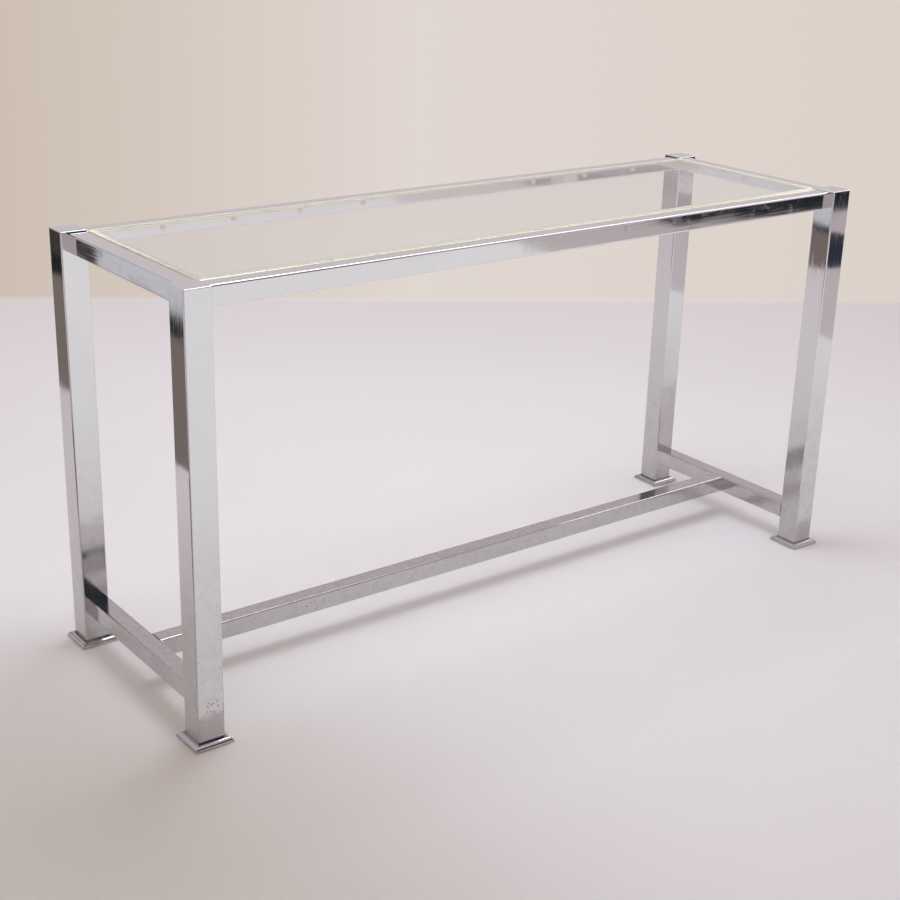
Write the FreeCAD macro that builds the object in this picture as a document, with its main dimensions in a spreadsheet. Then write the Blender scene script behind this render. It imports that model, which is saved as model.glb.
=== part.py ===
import FreeCAD, Part
import os

import Sketcher

# Console table: square chrome tube legs and rails, a mitred brass angle that carries a glass pane, and a low
# H of stretchers. Millimetres, +Z up, +X along the length, +Y towards the back.
# The origin is on the floor, at the middle of the footprint.

X_AXIS = FreeCAD.Vector(1, 0, 0)
Y_AXIS = FreeCAD.Vector(0, 1, 0)
Z_AXIS = FreeCAD.Vector(0, 0, 1)

doc = FreeCAD.newDocument("ConsoleTable")
sheet = doc.addObject("Spreadsheet::Sheet", "Sizes")

DRIVING_SIZES = [
    ("table_length", 1371.6, "over the outer faces of the legs"),
    ("table_depth", 441.3, "over the outer faces of the legs"),
    ("table_height", 711.2, "floor to the top of the leg caps"),
    ("leg_side", 44.45, "square leg tube"),
    ("leg_wall", 1.6, "leg tube wall"),
    ("leg_radius", 2.2, "outer corner of the leg tube"),
    ("cap_plate", 3.0, "leg cap plate thickness"),
    ("cap_spigot", 5.0, "depth of the cap's spigot in the tube"),
    ("spigot_gap", 0.2, "play between spigot and tube"),
    ("cap_edge", 1.4, "rounding of the cap's upper edge"),
    ("rail_side", 31.75, "square rail and stretcher tube"),
    ("rail_wall", 1.6, "rail and stretcher tube wall"),
    ("rail_radius", 3.0, "outer corner of rail and stretcher tube"),
    ("rail_drop", 2.5, "rail top below the leg top"),
    ("stretcher_top", 82.0, "top of the stretchers above the floor"),
    ("angle_side", 12.7, "brass angle, both legs"),
    ("angle_stock", 3.175, "brass angle thickness"),
    ("angle_edge", 0.6, "rounding of the brass angle's upper edges"),
    ("glass_stock", 12.0, "glass thickness"),
    ("glass_gap", 1.2, "play between glass and brass"),
    ("glass_corner", 2.0, "corner radius of the pane"),
    ("glass_arris", 0.7, "ground edge of the pane"),
    ("pad_height", 0.5, "bumper thickness"),
    ("pad_width", 7.0, "bumper diameter"),
    ("clip_pitch", 128.0, "spacing of the clips under the trim"),
    ("long_clips", 9, "clips under a long trim"),
    ("short_clips", 3, "clips under a short trim"),
    ("clip_width", 10.0, "clip, along the rail"),
    ("clip_stock", 1.2, "clip thickness"),
    ("clip_reach", 7.5, "clip's flange under the ledge"),
    ("clip_fall", 9.5, "clip's plate down the rail"),
    ("clip_corner", 2.0, "lower corners of the clip's plate"),
    ("screw_fall", 5.2, "screw axis below the ledge"),
    ("screw_shank", 2.9, "screw shank diameter"),
    ("screw_length", 6.0, "screw length under its head"),
    ("screw_head", 5.6, "screw head diameter"),
    ("screw_crown", 2.0, "screw head height"),
    ("screw_round", 0.9, "rounding of the screw head"),
    ("screw_slot", 0.8, "width of the cross in the screw head"),
    ("screw_play", 0.1, "play round the screw's shank"),
    ("foot_flare", 10.5, "foot beyond the leg's face"),
    ("foot_top", 9.8, "top of the foot above the floor"),
    ("foot_edge", 1.7, "upright edge at the foot's base"),
    ("foot_step", 0.7, "step from the base edge to the bullnose"),
    ("foot_lip", 2.1, "upright lip beyond the leg's face"),
    ("lip_height", 1.1, "height of that lip"),
    ("bullnose_radius", 7.4, "convex band round the foot"),
    ("foot_floor", 4.0, "level of the plate that the leg stands on"),
    ("crevice_width", 0.45, "groove between leg and lip"),
    ("crevice_depth", 1.6, "depth of that groove"),
    ("glide_show", 0.8, "glide below the foot"),
    ("glide_width", 24.0, "glide diameter"),
    ("glide_plate", 2.2, "glide disc thickness"),
    ("glide_stem", 6.0, "glide stem diameter"),
    ("glide_stem_top", 7.0, "top of the glide's stem above the floor"),
    ("glide_play", 0.1, "play round the glide"),
    ("glide_edge", 0.5, "chamfer of the glide's disc and stem"),
]
for row, (alias, number, meaning) in enumerate(DRIVING_SIZES, start=1):
    sheet.set(f"A{row}", alias)
    sheet.set(f"B{row}", str(number))
    sheet.set(f"C{row}", meaning)
    sheet.setAlias(f"B{row}", alias)
doc.recompute()
ALIASES = {alias for alias, number, meaning in DRIVING_SIZES}

sub_parts = []


def bound(expression):
    """The expression with each alias written as a cell of the sheet."""
    words = expression.replace("(", "( ").replace(")", " )").split()
    return " ".join(f"Sizes.{word}" if word in ALIASES else word for word in words)


def value(expression):
    """The number that an expression of aliases comes to."""
    return float(sheet.evalExpression(bound(expression)))


def bind(thing, **expressions):
    """Bind properties of an object to the sheet."""
    for name, expression in expressions.items():
        thing.setExpression(name, bound(expression))


def place(thing, x="0", y="0", z="0", turn=None):
    """Give an object its Placement: a rotation, and a position bound to the sheet."""
    if turn is not None:
        thing.Placement = FreeCAD.Placement(FreeCAD.Vector(), turn)
    thing.setExpression(".Placement.Base.x", bound(x))
    thing.setExpression(".Placement.Base.y", bound(y))
    thing.setExpression(".Placement.Base.z", bound(z))


def keep(thing, name):
    """Make an object a sub-part: its Label names its file."""
    thing.Label = name
    sub_parts.append(thing)
    return thing


# Sketches -------------------------------------------------------------------------------------------------


def origin_feature(body, role):
    return next(feature for feature in body.Origin.OriginFeatures if feature.Role == role)


def new_sketch(body, name, role="XY_Plane", height=None):
    """A sketch on one of the body's own origin planes, or lifted off it by a bound height."""
    sketch = body.newObject("Sketcher::SketchObject", name)
    sketch.AttachmentSupport = [(origin_feature(body, role), "")]
    sketch.MapMode = "FlatFace"
    if height is not None:
        sketch.setExpression(".AttachmentOffset.Base.z", bound(height))
    return sketch


def pin_point(sketch, edge, end, x, y):
    """Fix one end of a sketch edge at a bound point."""
    for kind, expression in (("DistanceX", x), ("DistanceY", y)):
        distance = value(expression)
        if abs(distance) < 1e-9:
            axis = -2 if kind == "DistanceX" else -1
            sketch.addConstraint(Sketcher.Constraint("PointOnObject", edge, end, axis))
        else:
            index = sketch.addConstraint(Sketcher.Constraint(kind, -1, 1, edge, end, distance))
            sketch.setExpression(f"Constraints[{index}]", bound(expression))


def polygon(sketch, corners, arcs=()):
    """A closed outline through bound corners. Each arc is (number of the edge, radius, side it bulges to)."""
    bends = {number: (radius, side) for number, radius, side in arcs}
    points = [FreeCAD.Vector(value(x), value(y), 0) for x, y in corners]
    ends = {}
    for number, start in enumerate(points):
        finish = points[(number + 1) % len(points)]
        if number in bends:
            radius, side = bends[number]
            edge, forward = add_arc(sketch, start, finish, radius, side)
            ends[number] = (edge, 1 if forward else 2, 2 if forward else 1)
        else:
            edge = sketch.addGeometry(Part.LineSegment(start, finish), False)
            ends[number] = (edge, 1, 2)
    for number, (x, y) in enumerate(corners):
        edge, first, last = ends[number]
        following, following_first, following_last = ends[(number + 1) % len(corners)]
        sketch.addConstraint(Sketcher.Constraint("Coincident", edge, last, following, following_first))
        pin_point(sketch, edge, first, x, y)
    for number, (radius, side) in bends.items():
        index = sketch.addConstraint(Sketcher.Constraint("Radius", ends[number][0], value(radius)))
        sketch.setExpression(f"Constraints[{index}]", bound(radius))


def add_arc(sketch, start, finish, radius, side):
    """An arc that bulges to the left (side 1) or right (side -1) of the way from start to finish."""
    chord = finish - start
    left = FreeCAD.Vector(-chord.y, chord.x, 0).normalize()
    half = chord.Length / 2
    rise = value(radius) - (value(radius) ** 2 - half**2) ** 0.5
    middle = (start + finish) * 0.5 + left * (side * rise)
    edge = sketch.addGeometry(Part.Arc(start, middle, finish), False)
    first, last = sketch.getPoint(edge, 1), sketch.getPoint(edge, 2)
    return edge, first.distanceToPoint(start) < last.distanceToPoint(start)


def rectangle(sketch, width, depth):
    """A rectangle centred on the sketch's origin."""
    half_width = f"( {width} ) / 2"
    half_depth = f"( {depth} ) / 2"
    polygon(
        sketch,
        [
            (f"-1 * {half_width}", f"-1 * {half_depth}"),
            (half_width, f"-1 * {half_depth}"),
            (half_width, half_depth),
            (f"-1 * {half_width}", half_depth),
        ],
    )


# Features -------------------------------------------------------------------------------------------------


def new_body(name):
    return keep(doc.addObject("PartDesign::Body", name), name)


def pad(body, sketch, length, downwards=False):
    feature = body.newObject("PartDesign::Pad", f"{sketch.Name}_pad")
    feature.Profile = sketch
    feature.Reversed = downwards
    bind(feature, Length=length)
    doc.recompute()
    return feature


def dress(body, base, kind, name, edges, **sizes):
    """A fillet or chamfer on the edges of a feature that the test picks."""
    feature = body.newObject(kind, name)
    picked = [f"Edge{number}" for number, edge in enumerate(base.Shape.Edges, start=1) if edges(edge)]
    feature.Base = (base, picked)
    bind(feature, **sizes)
    doc.recompute()
    return feature


def upright(edge):
    """Whether an edge runs along Z."""
    return abs(edge.tangentAt(edge.FirstParameter).z) > 0.999


def at_height(level):
    """A test for edges that lie at a height."""
    return lambda edge: abs(edge.BoundBox.ZMin - level) < 1e-6 and abs(edge.BoundBox.ZMax - level) < 1e-6


def square_tube(name, side, wall, radius, length):
    """A hollow square tube along its own Z, from 0, with rounded outer corners."""
    body = new_body(name)
    outline = new_sketch(body, f"{name}_section")
    rectangle(outline, side, side)
    rectangle(outline, f"{side} - 2 * {wall}", f"{side} - 2 * {wall}")
    blank = pad(body, outline, length)
    half = value(side) / 2 - 1e-3

    def outer_corner(edge):
        return upright(edge) and abs(edge.BoundBox.Center.x) > half

    dress(body, blank, "PartDesign::Fillet", f"{name}_corners", outer_corner, Radius=radius)
    return body


def bore_row(body, name, first, count):
    """A row of screw holes along the body's own Z, each along +Y from the bound point of the first."""
    bore = body.newObject("PartDesign::SubtractiveCylinder", name)
    bind(bore, Radius="screw_shank / 2 + screw_play", Height="2 * rail_wall")
    place(bore, *first, FreeCAD.Rotation(X_AXIS, -90))
    doc.recompute()
    before = body.Shape.Volume
    row = body.newObject("PartDesign::LinearPattern", f"{name}_row")
    row.Originals = [bore]
    row.Direction = (origin_feature(body, "Z_Axis"), [""])
    bind(row, Length=f"clip_pitch * ( {count} - 1 )", Occurrences=count)
    body.Tip = row
    doc.recompute()
    if not body.Shape.Volume < before:
        raise RuntimeError(f"{name} cuts nothing")


# Sides and corners ----------------------------------------------------------------------------------------

# Each side: its outward direction, the turn about Z that brings a piece's own +Y to point inwards, the span
# between the legs and the distance from the middle to the legs' outer faces.
SIDES = {
    "front": ((0, -1), 0, "table_length", "table_depth / 2", "long_clips"),
    "right": ((1, 0), 90, "table_depth", "table_length / 2", "short_clips"),
    "back": ((0, 1), 180, "table_length", "table_depth / 2", "long_clips"),
    "left": ((-1, 0), -90, "table_depth", "table_length / 2", "short_clips"),
}
CORNERS = {
    "front_left": (-1, -1),
    "front_right": (1, -1),
    "back_left": (-1, 1),
    "back_right": (1, 1),
}
RAIL_TOP = "table_height - rail_drop"
LEDGE_TOP = f"{RAIL_TOP} - angle_side + angle_stock"
LEDGE_BOTTOM = f"{RAIL_TOP} - angle_side"


def leg_axis(corner):
    """The bound x and y of a leg's axis."""
    right, back = CORNERS[corner]
    return f"{right} * ( table_length - leg_side ) / 2", f"{back} * ( table_depth - leg_side ) / 2"


def make_leg(corner):
    length = "table_height - cap_plate - foot_floor"
    body = square_tube(f"leg_{corner}", "leg_side", "leg_wall", "leg_radius", length)
    x, y = leg_axis(corner)
    place(body, x, y, "foot_floor")


def make_leg_cap(corner):
    """A plate flush with the tube's faces, its upper edge rounded, and a spigot inside the tube."""
    name = f"leg_cap_{corner}"
    body = new_body(name)
    plate_outline = new_sketch(body, f"{name}_plate")
    rectangle(plate_outline, "leg_side", "leg_side")
    plate = pad(body, plate_outline, "cap_plate")
    corners = dress(body, plate, "PartDesign::Fillet", f"{name}_corners", upright, Radius="leg_radius")
    rim = at_height(value("cap_plate"))
    dress(body, corners, "PartDesign::Fillet", f"{name}_rim", rim, Radius="cap_edge")
    spigot_outline = new_sketch(body, f"{name}_spigot")
    spigot_side = "leg_side - 2 * leg_wall - 2 * spigot_gap"
    rectangle(spigot_outline, spigot_side, spigot_side)
    pad(body, spigot_outline, "cap_spigot", downwards=True)
    x, y = leg_axis(corner)
    place(body, x, y, "table_height - cap_plate")


def primitive(kind, name, x="0", y="0", z="0", **sizes):
    thing = doc.addObject(kind, name)
    bind(thing, **sizes)
    place(thing, x, y, z)
    return thing


def square_block(name, side, bottom, top):
    half = f"-1 * ( {side} ) / 2"
    height = f"{top} - ( {bottom} )"
    return primitive("Part::Box", name, half, half, bottom, Length=side, Width=side, Height=height)


def foot_profile(name, turn):
    """One view of the foot, drawn upright and extruded through it."""
    sketch = doc.addObject("Sketcher::SketchObject", f"{name}_outline")
    base = "leg_side / 2 + foot_flare"
    step = f"{base} - foot_step"
    lip = "leg_side / 2 + foot_lip"
    right_side = [
        (base, "glide_show"),
        (base, "glide_show + foot_edge"),
        (step, "glide_show + foot_edge"),
        (lip, "foot_top - lip_height"),
        (lip, "foot_top"),
    ]
    left_side = [(f"-1 * ( {x} )", z) for x, z in reversed(right_side)]
    arcs = [(2, "bullnose_radius", -1), (6, "bullnose_radius", -1)]
    polygon(sketch, right_side + left_side, arcs)
    sketch.Placement = FreeCAD.Placement(FreeCAD.Vector(), turn)
    block = doc.addObject("Part::Extrusion", f"{name}_block")
    block.Base = sketch
    block.DirMode = "Normal"
    block.Solid = True
    block.Symmetric = True
    bind(block, LengthFwd="2 * leg_side")
    return block


def make_foot(corner):
    """A flared shoe with mitred corners, a socket for the leg, and a seat for the glide."""
    name = f"foot_{corner}"
    facing = FreeCAD.Rotation(X_AXIS, 90)
    across = FreeCAD.Rotation(Z_AXIS, 90).multiply(facing)
    flare = doc.addObject("Part::MultiCommon", f"{name}_flare")
    flare.Shapes = [foot_profile(f"{name}_x", facing), foot_profile(f"{name}_y", across)]
    crevice_side = "leg_side + 2 * crevice_width"
    hollows = doc.addObject("Part::MultiFuse", f"{name}_hollows")
    hollows.Shapes = [
        square_block(f"{name}_socket", "leg_side", "foot_floor", "foot_top + 1"),
        square_block(f"{name}_crevice", crevice_side, "foot_top - crevice_depth", "foot_top + 1"),
        primitive(
            "Part::Cylinder",
            f"{name}_seat",
            z="glide_show - 1",
            Radius="glide_width / 2 + glide_play",
            Height="glide_plate - glide_show + 1",
        ),
        primitive("Part::Cylinder", f"{name}_stem_hole", Radius="glide_stem / 2", Height="foot_floor + 1"),
    ]
    shoe = keep(doc.addObject("Part::Cut", name), name)
    shoe.Base = flare
    shoe.Tool = hollows
    x, y = leg_axis(corner)
    place(shoe, x, y, "0")


def make_glide(corner):
    """A nylon disc that the table stands on, with a stem pressed up into the foot."""
    name = f"glide_{corner}"
    disc = primitive("Part::Cylinder", f"{name}_disc", Radius="glide_width / 2", Height="glide_plate")
    stem = primitive("Part::Cylinder", f"{name}_stem", Radius="glide_stem / 2", Height="glide_stem_top")
    blank = doc.addObject("Part::Fuse", f"{name}_blank")
    blank.Base = disc
    blank.Tool = stem
    doc.recompute()
    glide = keep(doc.addObject("Part::Chamfer", name), name)
    glide.Base = blank
    rims = (at_height(0.0), at_height(value("glide_stem_top")))
    chamfer = value("glide_edge")
    glide.Edges = [
        (number, chamfer, chamfer)
        for number, edge in enumerate(blank.Shape.Edges, start=1)
        if any(rim(edge) for rim in rims)
    ]
    x, y = leg_axis(corner)
    place(glide, x, y, "0")


def side_point(side, distance):
    """The bound x and y of a point straight out from the middle of the table."""
    (out_x, out_y), turn, span, reach, clips = SIDES[side]
    return f"{out_x} * ( {distance} )", f"{out_y} * ( {distance} )"


def lying_along(turn):
    """The rotation that lays a piece's own Z along a side, with its own +Y inwards."""
    return FreeCAD.Rotation(Z_AXIS, turn).multiply(FreeCAD.Rotation(Y_AXIS, 90))


def make_rail(side):
    """A top rail between two legs, its inner face flush with theirs, with pilot holes for the clip screws."""
    (out_x, out_y), turn, span, reach, clips = SIDES[side]
    length = f"{span} - 2 * leg_side"
    half = f"( {length} ) / 2"
    body = square_tube(f"rail_{side}", "rail_side", "rail_wall", "rail_radius", length)
    first = (
        "angle_side + screw_fall - rail_side / 2",
        "rail_side / 2 - 1.5 * rail_wall",
        f"{half} - clip_pitch * ( {clips} - 1 ) / 2",
    )
    bore_row(body, f"rail_{side}_pilot", first, clips)
    x, y = side_point(side, f"{reach} - leg_side + rail_side / 2")
    level = f"{RAIL_TOP} - rail_side / 2"
    place(body, f"{x} + {out_y} * {half}", f"{y} - {out_x} * {half}", level, lying_along(turn))


def trapezium(sketch, span, depth):
    """A strip's plan: full length at the rail, and mitred at both ends."""
    half = f"( {span} ) / 2"
    polygon(
        sketch,
        [
            (f"-1 * {half}", "0"),
            (half, "0"),
            (f"{half} - {depth}", depth),
            (f"-1 * ( {half} - {depth} )", depth),
        ],
    )


def make_trim(side):
    """A brass angle along one rail: a ledge under the glass and an upright against the rail."""
    (out_x, out_y), turn, span, reach, clips = SIDES[side]
    name = f"brass_trim_{side}"
    length = f"{span} - 2 * leg_side"
    body = new_body(name)
    ledge = new_sketch(body, f"{name}_ledge")
    trapezium(ledge, length, "angle_side")
    pad(body, ledge, "angle_stock")
    upright_outline = new_sketch(body, f"{name}_upright")
    trapezium(upright_outline, length, "angle_stock")
    blank = pad(body, upright_outline, "angle_side")
    top = value("angle_side")

    def long_top_edge(edge):
        return at_height(top)(edge) and abs(edge.tangentAt(edge.FirstParameter).x) > 0.999

    dress(body, blank, "PartDesign::Fillet", f"{name}_edges", long_top_edge, Radius="angle_edge")
    x, y = side_point(side, f"{reach} - leg_side")
    place(body, x, y, LEDGE_BOTTOM, FreeCAD.Rotation(Z_AXIS, turn))


def clip_solid():
    """A steel clip: a plate against the rail below the ledge, and a flange against the ledge's underside."""
    width = value("clip_width")
    stock = value("clip_stock")
    fall = value("clip_fall")
    plate = Part.makeBox(width, stock, fall, FreeCAD.Vector(-width / 2, 0, -fall))
    flange = Part.makeBox(width, value("clip_reach"), stock, FreeCAD.Vector(-width / 2, 0, -stock))
    bent = plate.fuse(flange).removeSplitter()
    lower_corners = [edge for edge in bent.Edges if edge.BoundBox.ZMax < 1e-6 - fall and edge.Length < width]
    rounded = bent.makeFillet(value("clip_corner"), lower_corners)
    bore = value("screw_shank") / 2 + value("screw_play")
    centre = FreeCAD.Vector(0, -stock, -value("screw_fall"))
    return rounded.cut(Part.makeCylinder(bore, 3 * stock, centre, Y_AXIS))


def screw_solid():
    """A round-headed screw along Y: the underside of its head at 0, its point at minus its length."""
    head = value("screw_head") / 2
    crown = value("screw_crown")
    shank = value("screw_shank") / 2
    length = value("screw_length")
    away = FreeCAD.Vector(0, -1, 0)
    start = FreeCAD.Vector(0, 0, 0)
    button = Part.makeCylinder(head, crown, start, Y_AXIS)
    rim = [edge for edge in button.Edges if edge.BoundBox.YMin > crown - 1e-6]
    button = button.makeFillet(value("screw_round"), rim)
    body = Part.makeCylinder(shank, length - shank, start, away)
    point = Part.makeCone(shank, shank * 0.15, shank, away * (length - shank), away)
    screw = button.fuse([body, point])
    slot = value("screw_slot")
    for long_x, long_z in ((head, slot), (slot, head)):
        corner = FreeCAD.Vector(-long_x / 2, crown / 2, -long_z / 2)
        screw = screw.cut(Part.makeBox(long_x, crown, long_z, corner))
    return screw.removeSplitter()


def clip_spots(above_plate):
    """Position and turn of every clip, out from the rail's face by a distance, at the ledge's underside."""
    for side, ((out_x, out_y), turn, span, reach, count) in SIDES.items():
        total = int(value(count))
        rotation = FreeCAD.Rotation(Z_AXIS, turn)
        face = value(f"{reach} - leg_side") - above_plate
        for number in range(total):
            along = (number - (total - 1) / 2) * value("clip_pitch")
            spot = rotation.multVec(FreeCAD.Vector(along, -face, 0))
            spot.z = value(LEDGE_BOTTOM)
            yield spot, rotation


def keep_group(name, solids):
    group = keep(doc.addObject("Part::Feature", name), name)
    group.Shape = Part.makeCompound(solids)


def make_clips_and_screws():
    """All the clips under the trim, and all their screws, each as one group of separate solids."""
    clips = []
    for spot, rotation in clip_spots(0):
        clip = clip_solid()
        clip.Placement = FreeCAD.Placement(spot, rotation)
        clips.append(clip)
    screws = []
    for spot, rotation in clip_spots(value("clip_stock")):
        spot.z -= value("screw_fall")
        screw = screw_solid()
        screw.Placement = FreeCAD.Placement(spot, rotation)
        screws.append(screw)
    keep_group("trim_clips", clips)
    keep_group("trim_screws", screws)


def make_glass():
    body = new_body("glass_top")
    outline = new_sketch(body, "glass_outline")
    margin = "2 * ( leg_side + angle_stock + glass_gap )"
    rectangle(outline, f"table_length - {margin}", f"table_depth - {margin}")
    sheet_of_glass = pad(body, outline, "glass_stock")
    corners = dress(
        body, sheet_of_glass, "PartDesign::Fillet", "glass_corners", upright, Radius="glass_corner"
    )
    rims = (at_height(0.0), at_height(value("glass_stock")))

    def rim(edge):
        return any(test(edge) for test in rims)

    dress(body, corners, "PartDesign::Chamfer", "glass_arrises", rim, Size="glass_arris")
    place(body, "0", "0", f"{LEDGE_TOP} + pad_height")


def make_glass_pads():
    """Clear bumpers on the ledge, midway between the clips, as one group of separate solids."""
    pads = []
    radius = value("pad_width") / 2
    for side, ((out_x, out_y), turn, span, reach, count) in SIDES.items():
        rotation = FreeCAD.Rotation(Z_AXIS, turn)
        ledge_middle = value(f"{reach} - leg_side - ( angle_stock + angle_side ) / 2")
        gaps = int(value(count)) - 1
        for number in range(0, gaps, 1 if gaps < 4 else 2):
            along = (number - (gaps - 1) / 2) * value("clip_pitch")
            spot = rotation.multVec(FreeCAD.Vector(along, -ledge_middle, 0))
            spot.z = value(LEDGE_TOP)
            pads.append(Part.makeCylinder(radius, value("pad_height"), spot, Z_AXIS))
    keep_group("glass_pads", pads)


def make_stretchers():
    """Two side stretchers between the legs, flush with their inner faces, and one long one between those."""
    level = "stretcher_top - rail_side / 2"
    between_legs = "table_depth - 2 * leg_side"
    for side, right in (("left", -1), ("right", 1)):
        body = square_tube(f"stretcher_{side}", "rail_side", "rail_wall", "rail_radius", between_legs)
        along_y = FreeCAD.Rotation(X_AXIS, -90)
        x = f"{right} * ( table_length / 2 - leg_side + rail_side / 2 )"
        place(body, x, f"-1 * ( {between_legs} ) / 2", level, along_y)
    between_stretchers = "table_length - 2 * leg_side"
    centre = square_tube("stretcher_centre", "rail_side", "rail_wall", "rail_radius", between_stretchers)
    place(centre, f"-1 * ( {between_stretchers} ) / 2", "0", level, FreeCAD.Rotation(Y_AXIS, 90))


def check_and_write():
    """Stop on any failed object or sub-part, then write one STEP file for each sub-part."""
    doc.recompute()
    for thing in doc.Objects:
        if any(state in ("Invalid", "Error") for state in thing.State):
            raise RuntimeError(f"{thing.Name} failed: {thing.State}")
    for part in sub_parts:
        if part.Shape.isNull() or not part.Shape.isValid() or not part.Shape.Solids:
            raise RuntimeError(f"{part.Label} has no valid solid")
    os.makedirs("parts", exist_ok=True)
    for part in sub_parts:
        part.Shape.exportStep(f"parts/{part.Label}.step")
        box = part.Shape.BoundBox
        size = f"{box.XLength:.1f} x {box.YLength:.1f} x {box.ZLength:.1f}"
        print(f"{part.Label}: {len(part.Shape.Solids)} solid(s), {size}")


for corner_name in CORNERS:
    make_leg(corner_name)
    make_leg_cap(corner_name)
    make_foot(corner_name)
    make_glide(corner_name)
for side_name in SIDES:
    make_rail(side_name)
    make_trim(side_name)
make_clips_and_screws()
make_glass()
make_glass_pads()
make_stretchers()
check_and_write()
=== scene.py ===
import math

import bpy
from mathutils import Euler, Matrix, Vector


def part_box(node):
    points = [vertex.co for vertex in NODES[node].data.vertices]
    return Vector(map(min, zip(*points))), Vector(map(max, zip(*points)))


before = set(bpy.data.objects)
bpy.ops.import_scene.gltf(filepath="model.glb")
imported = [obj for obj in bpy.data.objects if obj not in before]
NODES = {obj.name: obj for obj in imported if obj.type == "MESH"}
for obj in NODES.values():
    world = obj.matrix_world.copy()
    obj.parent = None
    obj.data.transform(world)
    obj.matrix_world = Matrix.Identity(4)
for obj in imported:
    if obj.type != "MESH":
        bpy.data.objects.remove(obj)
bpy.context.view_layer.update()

# Looks of the console table: chromed square tube, brass angles under a loose glass top, and a plain studio.
# Metres, +Z up. Every CAD node keeps its shape and gets a better material. Colours are linear.

SCENE = bpy.context.scene


# Shader trees ---------------------------------------------------------------------------------------------


class Nodes:
    """A node tree under construction: nodes are added by kind, their inputs set or linked by name."""

    def __init__(self, tree):
        self.tree = tree

    def put(self, node, inputs):
        for key, value in inputs.items():
            if isinstance(value, bpy.types.NodeSocket):
                self.tree.links.new(value, node.inputs[key])
            else:
                node.inputs[key].default_value = value

    def add(self, kind, inputs=None, **settings):
        node = self.tree.nodes.new(kind)
        for key, value in settings.items():
            setattr(node, key, value)
        self.put(node, inputs or {})
        return node

    def coordinates(self, name):
        return self.add("ShaderNodeTexCoord").outputs[name]

    def part(self, vector, name):
        """The X, Y or Z of a vector."""
        return self.add("ShaderNodeSeparateXYZ", {0: vector}).outputs[name]

    def ramp(self, source, low, high, start=0.0, end=1.0, curve="SMOOTHSTEP"):
        """Source from low..high taken to start..end."""
        inputs = {"Value": source, 1: low, 2: high, 3: start, 4: end}
        return self.add("ShaderNodeMapRange", inputs, interpolation_type=curve).outputs["Result"]

    def math(self, operation, first, second=0.0):
        return self.add("ShaderNodeMath", {0: first, 1: second}, operation=operation).outputs[0]

    def measure(self, operation, first, second):
        """A dot product or distance of two vectors."""
        inputs = {0: first, 1: tuple(second)}
        return self.add("ShaderNodeVectorMath", inputs, operation=operation).outputs["Value"]

    def mix(self, factor, first, second):
        inputs = {0: factor, 6: first, 7: second}
        return self.add("ShaderNodeMix", inputs, data_type="RGBA").outputs[2]


class Shader(Nodes):
    """A material with one Principled surface, patterned in its object's own coordinates."""

    def __init__(self, name):
        self.material = bpy.data.materials.new(name)
        self.material.use_nodes = True
        super().__init__(self.material.node_tree)
        self.surface = self.tree.nodes["Principled BSDF"]
        self.place = self.coordinates("Object")

    def surface_inputs(self, **inputs):
        self.put(self.surface, {key.replace("_", " "): value for key, value in inputs.items()})

    def scaled(self, scale, offset=(0, 0, 0)):
        """The object's own coordinates, stretched and shifted."""
        inputs = {"Vector": self.place, "Scale": scale, "Location": offset}
        return self.add("ShaderNodeMapping", inputs).outputs["Vector"]

    def noise(self, scale, detail=3.0, roughness=0.55, where=None, distortion=0.0):
        inputs = {
            "Vector": where or self.place,
            "Scale": scale,
            "Detail": detail,
            "Roughness": roughness,
            "Distortion": distortion,
        }
        return self.add("ShaderNodeTexNoise", inputs).outputs["Fac"]

    def spots(self, scale, where):
        """Distance to the nearest of a scatter of points."""
        return self.add("ShaderNodeTexVoronoi", {"Vector": where, "Scale": scale}).outputs["Distance"]

    def bump(self, height, distance, normal=None):
        inputs = {"Height": height, "Distance": distance}
        if normal is not None:
            inputs["Normal"] = normal
        return self.add("ShaderNodeBump", inputs).outputs["Normal"]


# Chrome: the plate is painted darker towards the floor from DARKER_FROM, a painted shade for the shaded floor
# it mirrors round the feet, and is speckled and pitted below WORN_FROM.
PLATE_HIGH = (0.77, 0.765, 0.78, 1)
# Painted shade: the plate colour low down, where the floor it mirrors is shaded.
PLATE_SHADED = (0.58, 0.562, 0.57, 1)
PLATE_SPECKLED = (0.33, 0.31, 0.295, 1)
PLATE_HAZED = (0.60, 0.57, 0.57, 1)
PLATE_PIT = (0.16, 0.14, 0.13, 1)
DARKER_FROM, WORN_FROM, WORN_TO = 0.62, 0.46, 0.02
SCRATCH_ACROSS, SCRATCH_ALONG = 260.0, 9.0
# Each piece's pattern is shifted by its number times these, so no two pieces look alike.
GRAIN_SHIFT = Vector((3.1, 1.7, 2.3))
PATTERN_SHIFT = Vector((1.3, 0.7, 1.9))
# Roughness of the bare plate, and what each kind of wear adds to it.
PLATE_ROUGH = 0.035
HAZE_ROUGH = 0.10
SPECKLE_ROUGH = 0.16
SCRATCH_ROUGH = 0.07
SMUDGE_ROUGH = 0.05
PIT_ROUGH = 0.4


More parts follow.
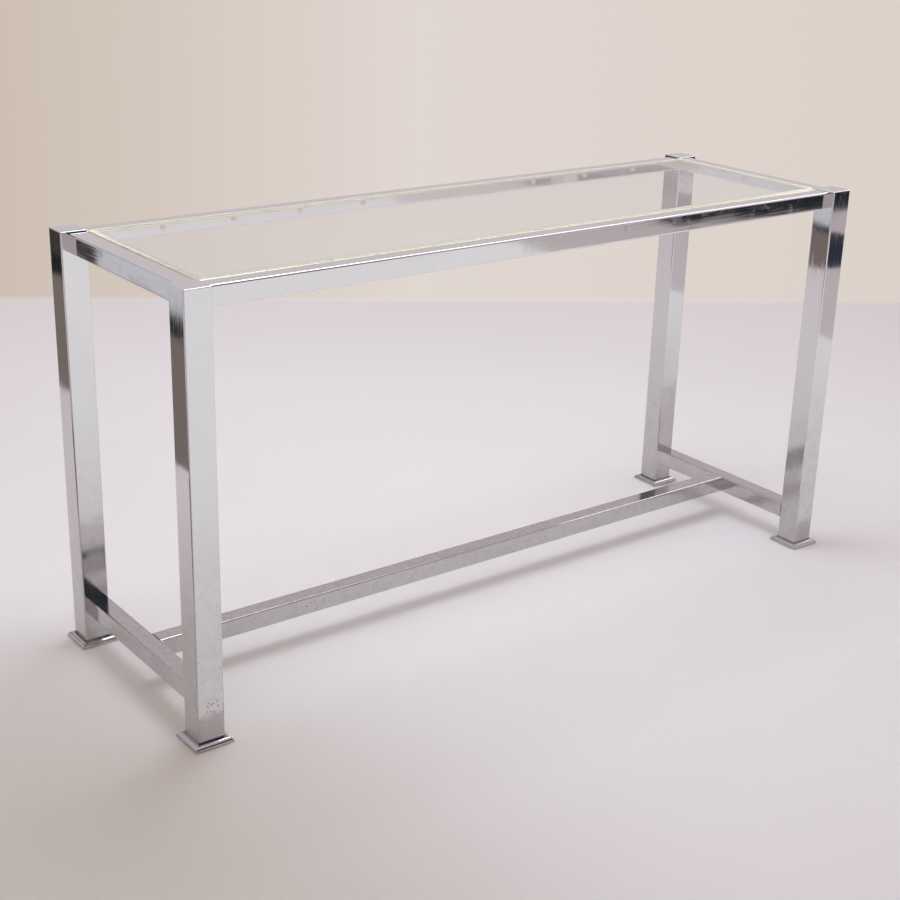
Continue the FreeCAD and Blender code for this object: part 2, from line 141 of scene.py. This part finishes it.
def chrome(name, along, seed):
    """Old chrome plate: a little out of flat, scratched along the tube, pitted and dull near the floor, with
    painted shade darkening its colour low down.
    """
    make = Shader(name)
    stretch = [SCRATCH_ACROSS] * 3
    stretch["XYZ".index(along)] = SCRATCH_ALONG
    grain = make.scaled(stretch, seed * GRAIN_SHIFT)
    here = make.scaled((1, 1, 1), seed * PATTERN_SHIFT)

    height = make.part(make.place, "Z")
    worn = make.ramp(height, WORN_FROM, WORN_TO)
    cloud = make.noise(9.0, detail=5.0, roughness=0.62, where=here)
    scratch = make.noise(1.0, detail=4.0, roughness=0.6, where=grain)
    speckle = make.noise(430.0, detail=4.0, roughness=0.75, where=here)
    bloom = make.noise(60.0, detail=5.0, roughness=0.7, where=here)
    smear = make.noise(26.0, roughness=0.5, where=here, distortion=1.4)

    haze = make.math("MULTIPLY", make.ramp(cloud, 0.4, 0.72), make.math("ADD", 0.35, worn))
    patchy = make.math("MULTIPLY", make.ramp(speckle, 0.4, 0.68), make.ramp(bloom, 0.35, 0.65, 0.25, 1.0))
    fine = make.math("MULTIPLY", patchy, worn)
    crowding = make.noise(14.0, detail=2.0, roughness=0.5, where=here)
    pit_size = make.ramp(crowding, 0.48, 0.72, 0.0, 0.2)
    pit = make.math("LESS_THAN", make.spots(170.0, here), make.math("MULTIPLY", pit_size, worn))

    wear = [
        (haze, HAZE_ROUGH),
        (fine, SPECKLE_ROUGH),
        (make.ramp(scratch, 0.5, 0.8), SCRATCH_ROUGH),
        (make.ramp(smear, 0.55, 0.7), SMUDGE_ROUGH),
        (pit, PIT_ROUGH),
    ]
    rough = PLATE_ROUGH
    for mark, added in wear:
        rough = make.math("ADD", make.math("MULTIPLY", mark, added), rough)

    # Painted shade: the plate colour goes darker towards the floor.
    plate = make.mix(make.ramp(height, DARKER_FROM, 0.0), PLATE_HIGH, PLATE_SHADED)
    speckled = make.mix(make.math("MULTIPLY", fine, 0.75), plate, PLATE_SPECKLED)
    hazed = make.mix(make.math("MULTIPLY", haze, 0.3), speckled, PLATE_HAZED)
    colour = make.mix(pit, hazed, PLATE_PIT)

    waves = make.bump(make.noise(7.0, detail=1.0, roughness=0.4, where=here), 0.0004)
    lines = make.bump(scratch, 0.000012, waves)
    grit = make.bump(make.math("MULTIPLY", speckle, worn), 0.000045, lines)
    make.surface_inputs(Metallic=1.0, Base_Color=colour, Roughness=rough, Normal=grit)
    return make.material


BRASS_CLEAN = (0.80, 0.77, 0.53, 1)
BRASS_TARNISHED = (0.62, 0.585, 0.37, 1)


def brass(name):
    """Polished brass, gone a little dull, with fine scratches and brown tarnish in patches."""
    make = Shader(name)
    patches = make.noise(22.0, detail=5.0, roughness=0.6)
    rubbed = make.noise(320.0, roughness=0.6)
    stain = make.ramp(patches, 0.52, 0.74)
    rough = make.math("ADD", make.math("MULTIPLY", stain, 0.12), make.math("MULTIPLY", rubbed, 0.14))
    make.surface_inputs(
        Metallic=1.0,
        Base_Color=make.mix(stain, BRASS_CLEAN, BRASS_TARNISHED),
        Roughness=make.math("ADD", rough, 0.10),
        Normal=make.bump(rubbed, 0.00003),
    )
    return make.material


GLASS_FACE = (0.985, 0.993, 0.98, 1)
GLASS_EDGE = (0.95, 0.94, 0.89, 1)
# Colour of the painted glow on the ground edges.
GLASS_PAINTED_GLOW = (0.97, 0.95, 0.88, 1)


def clear_glass(name):
    """Float glass with a trace of wiping marks. Its ground edges are painted with a faint glow, standing in
    for light led inside the pane.
    """
    make = Shader(name)
    upward = make.math("ABSOLUTE", make.part(make.coordinates("Normal"), "Z"))
    edge = make.ramp(upward, 0.6, 0.9, 1.0, 0.0)
    wiped = make.noise(1.0, detail=4.0, roughness=0.6, where=make.scaled((5.0, 34.0, 5.0)))
    ground = make.noise(700.0, roughness=0.6)
    face_rough = make.ramp(wiped, 0.5, 0.8, 0.0, 0.025)
    edge_rough = make.math("MULTIPLY", edge, make.ramp(ground, 0.3, 0.7, 0.32, 0.5))
    waves = make.bump(make.noise(3.0, detail=0.0), 0.00004)
    make.surface_inputs(
        Base_Color=make.mix(edge, GLASS_FACE, GLASS_EDGE),
        Roughness=make.math("ADD", face_rough, edge_rough),
        IOR=1.51,
        Transmission_Weight=make.ramp(edge, 0.0, 1.0, 1.0, 0.45),
        # Painted light: the ground edges glow, though the pane is no lamp.
        Emission_Color=GLASS_PAINTED_GLOW,
        Emission_Strength=make.math("MULTIPLY", edge, make.ramp(ground, 0.3, 0.7, 0.17, 0.24)),
        Normal=make.bump(make.math("MULTIPLY", ground, edge), 0.00004, waves),
    )
    return make.material


STEEL_DULL = (0.62, 0.61, 0.60, 1)
STEEL_WORN = (0.78, 0.77, 0.75, 1)


def steel(name):
    """Zinc-plated steel, worn in spots."""
    make = Shader(name)
    worn = make.noise(900.0)
    make.surface_inputs(
        Metallic=1.0,
        Base_Color=make.mix(worn, STEEL_DULL, STEEL_WORN),
        Roughness=make.ramp(worn, 0.3, 0.7, 0.22, 0.42),
        Normal=make.bump(worn, 0.00003),
    )
    return make.material


def vinyl(name):
    """Clear soft bumpers."""
    make = Shader(name)
    make.surface_inputs(
        Base_Color=(0.92, 0.92, 0.90, 1),
        Roughness=make.ramp(make.noise(500.0, detail=2.0), 0.3, 0.7, 0.2, 0.4),
        IOR=1.46,
        Transmission_Weight=0.85,
    )
    return make.material


NYLON_CLEAN = (0.62, 0.60, 0.55, 1)
NYLON_SCUFFED = (0.38, 0.35, 0.31, 1)


def nylon(name):
    """Off-white nylon glides, scuffed underneath."""
    make = Shader(name)
    scuff = make.noise(420.0, detail=4.0, roughness=0.65)
    make.surface_inputs(
        Base_Color=make.mix(make.ramp(scuff, 0.45, 0.7), NYLON_CLEAN, NYLON_SCUFFED),
        Roughness=make.ramp(scuff, 0.3, 0.7, 0.35, 0.6),
        Normal=make.bump(scuff, 0.00005),
    )
    return make.material


# The node materials ---------------------------------------------------------------------------------------

BRASS = brass("brass_polished")
STEEL = steel("steel_plated")
PLAIN = {
    "glass_top": clear_glass("glass_clear"),
    "trim_clips": STEEL,
    "trim_screws": STEEL,
    "glass_pads": vinyl("vinyl_clear"),
}
NYLON = nylon("nylon_scuffed")


def long_axis(node):
    """The letter of the axis that a node is longest along."""
    low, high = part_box(node)
    size = list(high - low)
    return "XYZ"[size.index(max(size))]


def node_material(node, seed):
    if node.startswith("brass_trim"):
        return BRASS
    if node.startswith("glide"):
        return NYLON
    return PLAIN.get(node) or chrome(f"chrome_{node}", long_axis(node), seed)


for number, (node_name, piece) in enumerate(sorted(NODES.items())):
    finish = node_material(node_name, number + 1)
    for slot in piece.material_slots:
        slot.material = finish
NODES["glass_top"].visible_shadow = False


# The studio -----------------------------------------------------------------------------------------------


def studio_piece(name, corners, faces, material):
    """A sheet of the studio through the given corners."""
    mesh = bpy.data.meshes.new(name)
    mesh.from_pydata(corners, [], faces)
    mesh.materials.append(material)
    made = bpy.data.objects.new(name, mesh)
    SCENE.collection.objects.link(made)
    return made


# The floor ends in a straight edge behind the table: the foot of the far wall, which the world shows.
WALL_NORMAL = Vector((0.535, 0.845, 0)).normalized()
WALL_ALONG = Vector((WALL_NORMAL.y, -WALL_NORMAL.x, 0))
WALL_DISTANCE = 2.002
WALL_BLEND = 0.035
FLOOR_REACH = 7.0
FLOOR_PAST_WALL = 0.05
FLOOR_CLEAN = (0.855, 0.812, 0.815, 1)
FLOOR_CLOUDED = (0.872, 0.832, 0.838, 1)
# Painted shade: the floor is a little darker and warmer round this point, in front of the table on its left.
SHADE_CORNER = (-1.5, -0.6, 0.0)
SHADE_INNER, SHADE_OUTER = 0.6, 1.4
# Colour of the painted shade on the floor.
FLOOR_SHADED = (0.656, 0.605, 0.560, 1)


def floor_material():
    """Matt sheet floor, lightly mottled, with painted shade in front of the table on its left, fading out
    where it meets the far wall.
    """
    make = Shader("floor_vinyl")
    cloud = make.noise(1.1, detail=4.0)
    mottle = make.noise(38.0, detail=4.0, roughness=0.6)
    plain = make.mix(make.ramp(cloud, 0.3, 0.7), FLOOR_CLEAN, FLOOR_CLOUDED)
    from_corner = make.measure("DISTANCE", make.place, SHADE_CORNER)
    painted_shade = make.ramp(from_corner, SHADE_INNER, SHADE_OUTER, 1.0, 0.0)
    to_wall = make.measure("DOT_PRODUCT", make.place, WALL_NORMAL)
    make.surface_inputs(
        # Painted shade mixed into the floor colour round the front-left point.
        Base_Color=make.mix(painted_shade, plain, FLOOR_SHADED),
        Roughness=make.ramp(mottle, 0.3, 0.7, 0.42, 0.6),
        Normal=make.bump(mottle, 0.0004),
        Specular_IOR_Level=0.0,
        Alpha=make.ramp(to_wall, WALL_DISTANCE - WALL_BLEND, WALL_DISTANCE + WALL_BLEND, 1.0, 0.0),
    )
    return make.material


def studio_floor():
    near = -WALL_NORMAL * FLOOR_REACH
    far = WALL_NORMAL * (WALL_DISTANCE + FLOOR_PAST_WALL)
    side = WALL_ALONG * FLOOR_REACH
    corners = [near - side, near + side, far + side, far - side]
    studio_piece("studio_floor", corners, [range(4)], floor_material())


studio_floor()


# Cards round the table, which only reflections see: they set what the chrome mirrors.
CARD_LEVEL = 0.002
FRONT_CARD_LEVEL = 0.001
STRIP_HEIGHT = 2.5
LEFT_WALL_X = -1.76
LEFT_WALL_TOP = 2.0
LEFT_FLOOR_Y = (-0.4, 3.4)
RIGHT_SHADE = [(2.53, -2.44), (3.30, -2.35), (5.0, -2.1), (5.0, -4.4), (2.53, -4.4)]


def glowing(name):
    """A material that gives off its own even colour: its nodes, and the one that the colour goes into."""
    made = bpy.data.materials.new(name)
    made.use_nodes = True
    nodes = Nodes(made.node_tree)
    nodes.tree.nodes.remove(nodes.tree.nodes["Principled BSDF"])
    glow = nodes.add("ShaderNodeEmission")
    nodes.put(nodes.tree.nodes["Material Output"], {"Surface": glow.outputs[0]})
    return made, nodes, glow


def seen_in_reflections(piece):
    """Hides a studio piece from everything but reflections."""
    piece.visible_camera = False
    piece.visible_diffuse = False
    piece.visible_transmission = False
    piece.visible_shadow = False


def card(name, corners, colour):
    made, nodes, glow = glowing(name)
    nodes.put(glow, {"Color": (*colour, 1)})
    seen_in_reflections(studio_piece(name, corners, [range(len(corners))], made))


def level_card(name, outline, colour, level=CARD_LEVEL):
    card(name, [(x, y, level) for x, y in outline], colour)


def floor_card(name, x_range, y_range, colour, level=CARD_LEVEL):
    (x0, x1), (y0, y1) = x_range, y_range
    level_card(name, [(x0, y0), (x1, y0), (x1, y1), (x0, y1)], colour, level)


def left_card(name, y_range, colour):
    """A standing card on the left of the table."""
    (y0, y1), x, top = y_range, LEFT_WALL_X, LEFT_WALL_TOP
    card(name, [(x, y0, 0), (x, y1, 0), (x, y1, top), (x, y0, top)], colour)


floor_card("card_left_floor", (-1.66, -1.21), LEFT_FLOOR_Y, (0.20, 0.165, 0.15))
floor_card("card_left_gap", (LEFT_WALL_X, -1.66), LEFT_FLOOR_Y, (0.015, 0.015, 0.018))
left_card("card_left_wall", (1.2, 2.5), (0.61, 0.61, 0.65))
left_card("card_left_door", (2.5, 3.6), (0.05, 0.042, 0.04))
floor_card("card_front_floor", (-0.8, 1.85), (-3.2, -0.30), (0.86, 0.84, 0.85), FRONT_CARD_LEVEL)
level_card("card_right_floor", RIGHT_SHADE, (0.018, 0.02, 0.026))
floor_card("card_strip", (0.56, 3.3), (-0.1, 0.7), (4.0, 4.1, 4.3), STRIP_HEIGHT)
floor_card("card_right_band", (2.52, 2.98), (-2.1, -1.7), (0.03, 0.035, 0.05))


ROOM_RADIUS = 4.2
ROOM_LOW, ROOM_HIGH = 0.75, 3.6
ROOM_FADE = 0.5 * ROOM_RADIUS
ROOM_FACING = Vector((-0.62, -0.78, 0)).normalized()
ROOM_PANELS = 48
ROOM_DIM = (0.045, 0.052, 0.066, 1)
PALE = (0.66, 0.60, 0.61, 1)


def front_room():
    """The dim side of the studio, behind the camera: half of a tall drum, paler towards its two ends."""
    start = math.atan2(ROOM_FACING.y, ROOM_FACING.x) - math.radians(90)
    corners, panels = [], []
    for step in range(ROOM_PANELS + 1):
        angle = start + math.pi * step / ROOM_PANELS
        x, y = ROOM_RADIUS * math.cos(angle), ROOM_RADIUS * math.sin(angle)
        corners += [(x, y, ROOM_LOW), (x, y, ROOM_HIGH)]
    for first in range(0, 2 * ROOM_PANELS, 2):
        panels.append((first, first + 2, first + 3, first + 1))
    made, nodes, glow = glowing("card_room")
    inward = nodes.measure("DOT_PRODUCT", nodes.coordinates("Object"), ROOM_FACING)
    depth = nodes.ramp(inward, 0.0, ROOM_FADE)
    nodes.put(glow, {"Color": nodes.mix(depth, PALE, ROOM_DIM)})
    seen_in_reflections(studio_piece("card_room", corners, panels, made))


front_room()


# The far wall's tone at its left, a little left of the middle, and at its right; pale sky above it.
WALL_LEFT = (0.615, 0.525, 0.452, 1)
WALL_MIDDLE = (0.755, 0.678, 0.638, 1)
WALL_RIGHT = (0.715, 0.642, 0.582, 1)
WALL_MIDDLE_AT = 0.45
WALL_SPAN = (-0.19, 0.37)
WALL_RISE = 0.15
# As a light on the floor, the world is a little weaker than it looks.
WORLD_AS_LIGHT = 0.82


def studio_world():
    world = bpy.data.worlds.new("studio_world")
    world.use_nodes = True
    SCENE.world = world
    nodes = Nodes(world.node_tree)
    way = nodes.coordinates("Generated")
    height = nodes.ramp(nodes.part(way, "Z"), 0.0, WALL_RISE)
    across = nodes.ramp(nodes.measure("DOT_PRODUCT", way, WALL_ALONG), *WALL_SPAN, curve="LINEAR")
    wall = nodes.add("ShaderNodeValToRGB", {0: across})
    tones = wall.color_ramp.elements
    tones[0].color = WALL_LEFT
    tones[1].color = WALL_RIGHT
    tones.new(WALL_MIDDLE_AT).color = WALL_MIDDLE
    as_light = nodes.add("ShaderNodeLightPath").outputs["Is Diffuse Ray"]
    inputs = {
        "Color": nodes.mix(height, wall.outputs["Color"], PALE),
        "Strength": nodes.ramp(as_light, 0.0, 1.0, 1.0, WORLD_AS_LIGHT, curve="LINEAR"),
    }
    nodes.put(nodes.tree.nodes["Background"], inputs)


studio_world()


LAMP_COOL = (0.76, 0.87, 1.0)
LAMP_WARM = (1.0, 0.96, 0.76)
KEY_SIZE = (0.9, 0.8)
FILL_SIZE = (2.6, 2.4)


def soft_light(name, place, aim, size, power, colour):
    lamp = bpy.data.lights.new(name, "AREA")
    lamp.shape = "RECTANGLE"
    lamp.size, lamp.size_y = size
    lamp.energy = power
    lamp.color = colour
    made = bpy.data.objects.new(name, lamp)
    SCENE.collection.objects.link(made)
    made.location = place
    made.rotation_euler = (Vector(aim) - Vector(place)).to_track_quat("-Z", "Y").to_euler()
    made.visible_camera = False
    return made


soft_light("light_key", (0.1, 0.3, 2.5), (0.1, 0.28, 0.0), KEY_SIZE, power=14.0, colour=LAMP_COOL)
soft_light("light_fill", (0.5, 0.7, 3.1), (0.5, 0.7, 0.0), FILL_SIZE, power=17.0, colour=LAMP_COOL)
# Warm light thrown back by the room: it comes from all over, so it casts no shadow and is not mirrored.
bounce = soft_light("light_bounce", (0.2, 0.5, 3.1), (0.2, 0.5, 0.0), FILL_SIZE, 34.0, LAMP_WARM)
bounce.visible_glossy = False
bounce.data.use_shadow = False


# The camera -----------------------------------------------------------------------------------------------

CAMERA_PLACE = (-1.62258, -2.03925, 1.25700)
CAMERA_TURN, CAMERA_DIP, CAMERA_ROLL = -37.4947, 20.7788, 1.6148
LENS = 61.984
SENSOR = 36.0


def turned(x=0.0, z=0.0):
    """A rotation by degrees about X or Z."""
    return Euler((math.radians(x), 0, math.radians(z))).to_matrix()


view = bpy.data.cameras.new("studio_camera")
view.lens = LENS
view.sensor_width = SENSOR
camera = bpy.data.objects.new("studio_camera", view)
SCENE.collection.objects.link(camera)
camera.location = CAMERA_PLACE
camera.rotation_euler = (turned(z=CAMERA_TURN) @ turned(x=90 - CAMERA_DIP) @ turned(z=CAMERA_ROLL)).to_euler()
SCENE.camera = camera
SCENE.view_settings.view_transform = "Standard"
